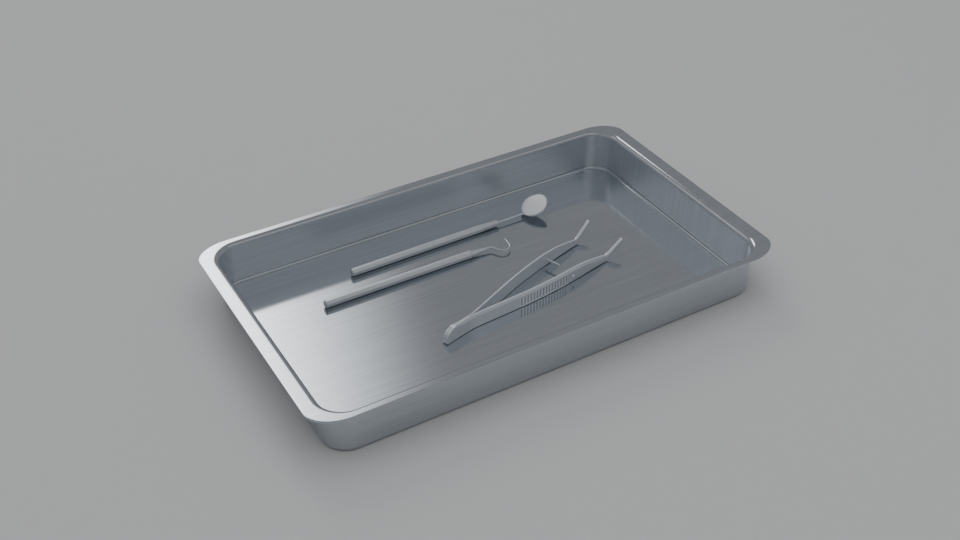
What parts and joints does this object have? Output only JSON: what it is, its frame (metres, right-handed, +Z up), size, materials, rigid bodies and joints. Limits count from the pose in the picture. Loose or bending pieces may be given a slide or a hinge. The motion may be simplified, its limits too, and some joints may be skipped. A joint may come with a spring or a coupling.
{
  "type": "instrument tray",
  "caption": "Shallow stainless instrument tray with a wide flat rim, holding a mouth mirror, a hooked explorer and spring tweezers with curved arms and ribbed grips.",
  "frame": {"origin": "middle of the tray's flat underside", "axes": "+X along the tray's long side, towards the mirror's head and the tweezers' points; +Y across the tray, towards the mouth mirror; +Z up out of the tray"},
  "size_m": [0.34, 0.197, 0.033],
  "materials": {
    "tray_steel": "fine brush lines along the tray",
    "handle_steel": "satin, brushed across the handle",
    "tweezers_steel": "satin",
    "bright_steel": "polished",
    "mirror_glass": "front-silvered glass"
  },
  "bodies": {
    "tray": {"tray": "tray_steel"},
    "mouth_mirror": {"mirror_handle": "handle_steel"},
    "mirror_head": {"mirror_stem": "bright_steel", "mirror_cup": "bright_steel", "mirror_glass": "mirror_glass"},
    "explorer": {"probe_handle": "handle_steel", "probe_tip": "bright_steel"},
    "tweezers": {"near_arm_heel": "tweezers_steel", "far_arm_heel": "tweezers_steel"},
    "near_arm": {"near_arm": "tweezers_steel"},
    "far_arm": {"far_arm": "tweezers_steel", "guide_pin": "bright_steel"}
  },
  "joints": [
    {"name": "mirror_lift", "type": "slide", "parent": "tray", "child": "mouth_mirror", "axis": [0, 0, 1], "range_m": [0, 0.06]},
    {"name": "mirror_head_pull", "type": "slide", "parent": "mouth_mirror", "child": "mirror_head", "axis": [1, 0.0087, 0], "range_m": [0, 0.01]},
    {"name": "explorer_lift", "type": "slide", "parent": "tray", "child": "explorer", "axis": [0, 0, 1], "range_m": [0, 0.06]},
    {"name": "tweezers_lift", "type": "slide", "parent": "tray", "child": "tweezers", "axis": [0, 0, 1], "range_m": [0, 0.06]},
    {"name": "near_arm_squeeze", "type": "hinge", "parent": "tweezers", "child": "near_arm", "pos_m": [-0.02875, -0.03168, 0.0065], "axis": [0, 0, 1], "range_deg": [0, 6], "stiffness_Nm_per_rad": 1},
    {"name": "far_arm_squeeze", "type": "hinge", "parent": "tweezers", "child": "far_arm", "pos_m": [-0.02941, -0.02907, 0.0065], "axis": [0, 0, 1], "range_deg": [-6, 0], "stiffness_Nm_per_rad": 1}
  ],
  "couplings": [
    {"joint": "far_arm_squeeze", "follows": "near_arm_squeeze", "ratio": -1}
  ]
}
